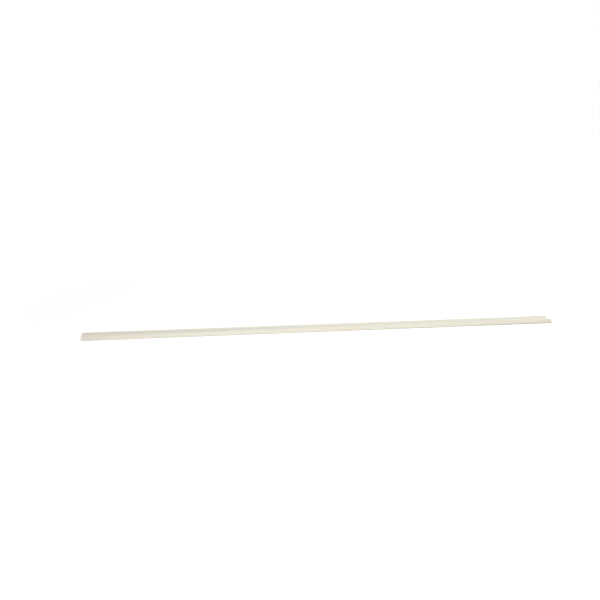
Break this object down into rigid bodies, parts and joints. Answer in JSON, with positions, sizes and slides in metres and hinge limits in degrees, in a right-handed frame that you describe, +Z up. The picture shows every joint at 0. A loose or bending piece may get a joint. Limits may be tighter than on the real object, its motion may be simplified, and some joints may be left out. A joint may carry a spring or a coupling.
{
  "type": "crown moulding",
  "caption": "Straight length of sprung crown moulding with a swell and cove face, bevelled wall and ceiling edges, and a flat back.",
  "frame": {"origin": "Middle of the bounding box, on the floor under the flat back.", "axes": "+X along the length, +Y across from the wall edge to the ceiling edge, +Z up from the flat back to the moulded face."},
  "size_m": [2.4384, 0.092, 0.0143],
  "materials": {
    "crown_moulding": "unfinished, planed and fine sanded, pale cream"
  },
  "bodies": {
    "root": {"crown_moulding": "crown_moulding"}
  },
  "joints": []
}
